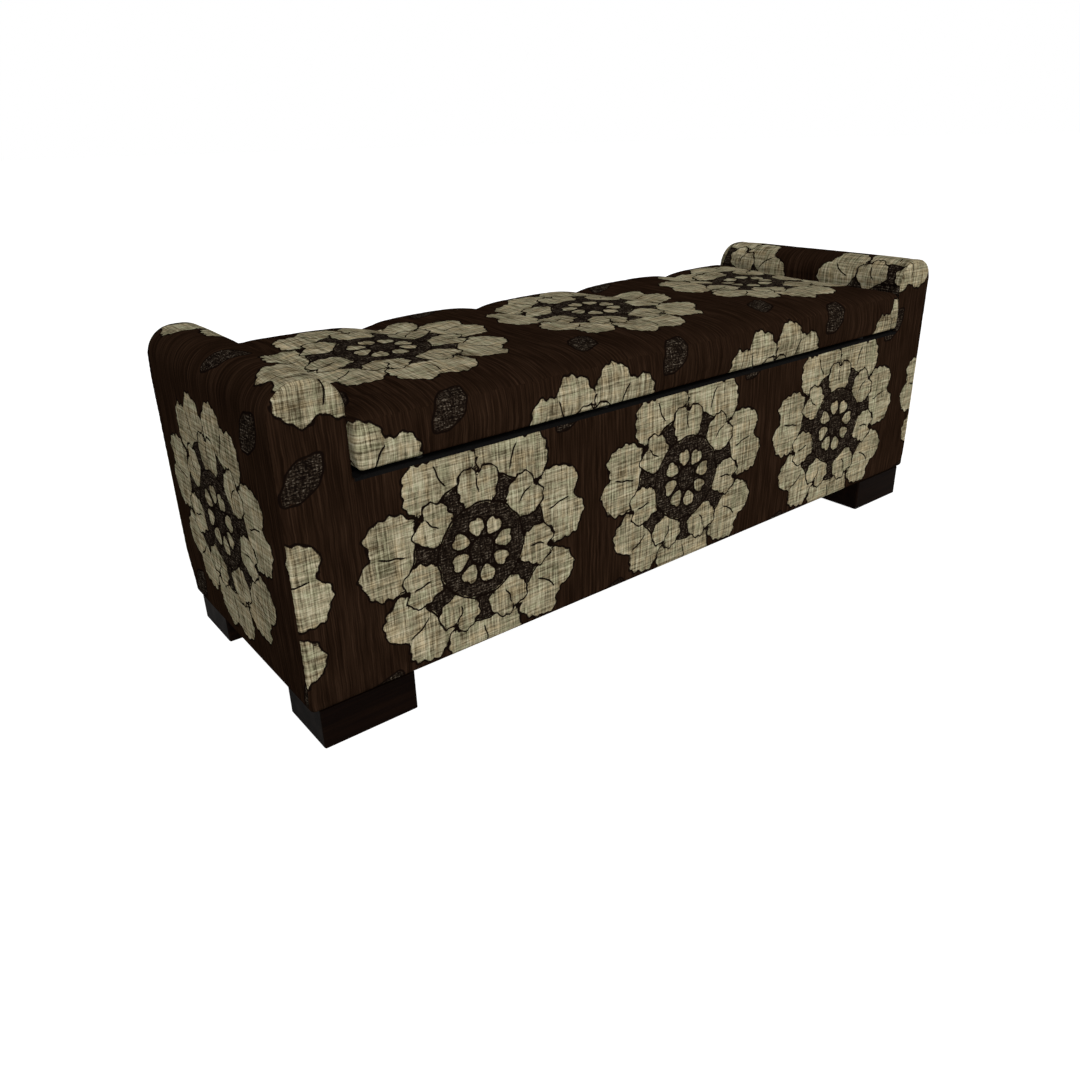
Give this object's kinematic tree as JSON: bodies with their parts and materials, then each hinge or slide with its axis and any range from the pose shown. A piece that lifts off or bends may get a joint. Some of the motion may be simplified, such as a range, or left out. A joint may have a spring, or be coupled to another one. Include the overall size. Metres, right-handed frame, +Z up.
{
  "type": "storage bench",
  "caption": "Upholstered storage bench: box body on square block feet, round-topped slab arms, boxed-cushion lid hinged at the back over a storage compartment.",
  "frame": {"origin": "centre of the footprint, on the floor under the feet", "axes": "+X along the bench's length, +Y towards the back (hinge side), +Z up; the front faces -Y"},
  "size_m": [1.4, 0.48, 0.51],
  "materials": {
    "upholstery": "woven floral jacquard, dark brown ground with pale motifs",
    "foam": "open-cell foam",
    "foot_wood": "espresso-stained hardwood, satin",
    "plywood": "birch plywood, raw",
    "softwood": "planed pine, raw",
    "beech": "beech dowel, raw",
    "steel": "zinc-plated steel",
    "hinge_steel": "nickel-plated steel",
    "nylon": "moulded nylon",
    "rubber": "soft rubber",
    "lining": "non-woven polypropylene lining, black"
  },
  "bodies": {
    "base": {"back_board": "plywood", "back_cover": "upholstery", "back_padding": "foam", "bottom_board": "plywood", "carcass_screws": "steel", "dust_cover": "lining", "foot_bolts": "steel", "foot_dowels": "beech", "foot_front_left": "foot_wood", "foot_front_right": "foot_wood", "foot_glides": "nylon", "foot_rear_left": "foot_wood", "foot_rear_right": "foot_wood", "foot_tee_nuts": "steel", "front_board": "plywood", "front_cover": "upholstery", "front_padding": "foam", "hinge_base_leaf": "hinge_steel", "hinge_base_screws": "steel", "hinge_pin": "hinge_steel", "interior_lining": "lining", "left_arm_cover": "upholstery", "left_arm_front_post": "softwood", "left_arm_inner_board": "plywood", "left_arm_outer_board": "plywood", "left_arm_padding": "foam", "left_arm_rear_post": "softwood", "left_arm_top_rail": "softwood", "left_stay_block": "softwood", "left_stay_stud": "hinge_steel", "lid_bumpers": "rubber", "right_arm_cover": "upholstery", "right_arm_front_post": "softwood", "right_arm_inner_board": "plywood", "right_arm_outer_board": "plywood", "right_arm_padding": "foam", "right_arm_rear_post": "softwood", "right_arm_top_rail": "softwood", "right_stay_block": "softwood", "right_stay_stud": "hinge_steel", "stay_block_screws": "steel"},
    "lid": {"lid_board": "plywood", "lid_foam": "foam", "lid_top_cover": "upholstery", "lid_band": "upholstery", "lid_underside_cloth": "lining", "hinge_lid_leaf": "hinge_steel", "hinge_lid_screws": "steel", "left_lid_bracket": "hinge_steel", "right_lid_bracket": "hinge_steel", "lid_bracket_screws": "steel", "left_stay_rivet": "hinge_steel", "right_stay_rivet": "hinge_steel"},
    "left_stay": {"left_stay_arm": "hinge_steel"},
    "right_stay": {"right_stay_arm": "hinge_steel"}
  },
  "joints": [
    {"name": "lid_hinge", "type": "hinge", "parent": "base", "child": "lid", "pos_m": [0, 0.2365, 0.38], "axis": [-1, 0, 0], "range_deg": [0, 85]},
    {"name": "left_stay_pivot", "type": "hinge", "parent": "lid", "child": "left_stay", "pos_m": [-0.5885, 0.07711, 0.366], "axis": [-1, 0, 0], "range_deg": [-45, 0]},
    {"name": "right_stay_pivot", "type": "hinge", "parent": "lid", "child": "right_stay", "pos_m": [0.5885, 0.07711, 0.366], "axis": [-1, 0, 0], "range_deg": [-45, 0]}
  ],
  "couplings": [
    {"joint": "left_stay_pivot", "follows": "lid_hinge", "ratio": -0.5},
    {"joint": "right_stay_pivot", "follows": "lid_hinge", "ratio": -0.5}
  ]
}
